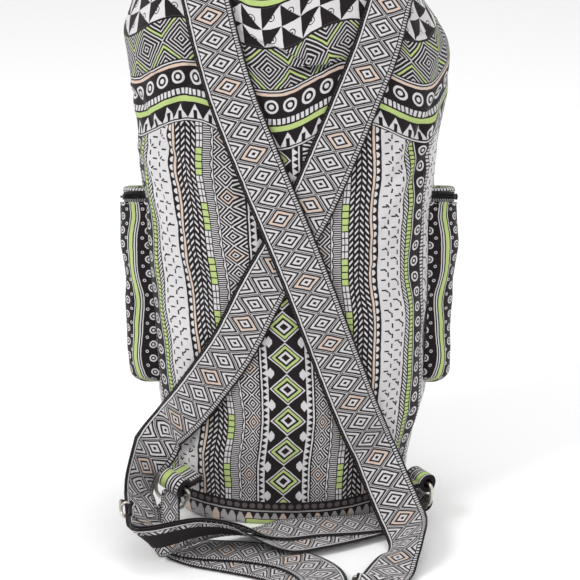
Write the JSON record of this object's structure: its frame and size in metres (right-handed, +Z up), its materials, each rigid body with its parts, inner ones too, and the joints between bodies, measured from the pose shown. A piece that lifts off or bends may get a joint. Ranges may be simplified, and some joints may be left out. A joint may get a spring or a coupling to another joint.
{
  "type": "backpack",
  "caption": "Slouchy printed canvas rucksack with crossed shoulder straps, zipped bellows side pockets, ring tabs at its lower corners and an open gathered mouth.",
  "frame": {"origin": "middle of the flat underside of the base panel", "axes": "+Z up, the strap side faces -Y, the front faces +Y, +X is the viewer's right when looking at the strap side"},
  "size_m": [0.276, 0.3216, 0.503],
  "materials": {
    "body_canvas": "printed cotton canvas, plain weave, matt",
    "strap_canvas": "printed canvas strap with turned and stitched edges, dark underside",
    "pocket_canvas": "printed canvas on a dark ground, matt",
    "base_cloth": "plain dark canvas over a stiff panel",
    "zip_tape": "black woven zip tape with moulded teeth",
    "zip_metal": "dark enamelled zip slider and pull",
    "antique_metal": "warm antique silver, satin"
  },
  "bodies": {
    "bag": {"bag_shell": "body_canvas", "base_panel": "base_cloth", "mouth_casing": "body_canvas", "eyelet_left": "antique_metal", "eyelet_right": "antique_metal", "strap_left": "strap_canvas", "strap_right": "strap_canvas", "tab_left": "pocket_canvas", "tab_right": "pocket_canvas", "pocket_left": "pocket_canvas", "pocket_right": "pocket_canvas", "pocket_hood_left": "pocket_canvas", "pocket_hood_right": "pocket_canvas", "zip_tape_left": "zip_tape", "zip_tape_right": "zip_tape"},
    "slider_left": {"zip_slider_left": "zip_metal"},
    "pull_left": {"zip_pull_left": "zip_metal"},
    "slider_right": {"zip_slider_right": "zip_metal"},
    "pull_right": {"zip_pull_right": "zip_metal"},
    "hook_ring_left": {"ring_left": "antique_metal"},
    "hook_ring_right": {"ring_right": "antique_metal"},
    "slide_left": {"buckle_left": "antique_metal", "strap_end_left": "strap_canvas"},
    "slide_right": {"buckle_right": "antique_metal", "strap_end_right": "strap_canvas"}
  },
  "joints": [
    {"name": "zip_left_run", "type": "slide", "parent": "bag", "child": "slider_left", "axis": [0, 0.963, -0.2696], "range_m": [-0.03, 0.008]},
    {"name": "zip_left_pull", "type": "hinge", "parent": "slider_left", "child": "pull_left", "pos_m": [-0.13334, 0.022, 0.25374], "axis": [0, 0.2696, 0.963], "range_deg": [0, 170]},
    {"name": "zip_right_run", "type": "slide", "parent": "bag", "child": "slider_right", "axis": [0, 0.963, -0.2696], "range_m": [-0.03, 0.008]},
    {"name": "zip_right_pull", "type": "hinge", "parent": "slider_right", "child": "pull_right", "pos_m": [0.13854, 0.022, 0.25374], "axis": [0, 0.2696, 0.963], "range_deg": [0, 170]},
    {"name": "ring_left_swing", "type": "hinge", "parent": "bag", "child": "hook_ring_left", "pos_m": [-0.09, -0.076, 0.042], "axis": [0.8004, -0.5003, -0.3302], "range_deg": [-3.5, 11]},
    {"name": "ring_right_swing", "type": "hinge", "parent": "bag", "child": "hook_ring_right", "pos_m": [0.11, -0.055, 0.036], "axis": [-0.5026, 0.8645, 0], "range_deg": [-11, 11]},
    {"name": "slide_left_adjust", "type": "slide", "parent": "bag", "child": "slide_left", "axis": [0.1005, -0.9744, -0.2009], "range_m": [-0.005, 0.006]},
    {"name": "slide_right_adjust", "type": "slide", "parent": "bag", "child": "slide_right", "axis": [-0.3413, -0.94, 0], "range_m": [-0.01, 0.005]}
  ]
}
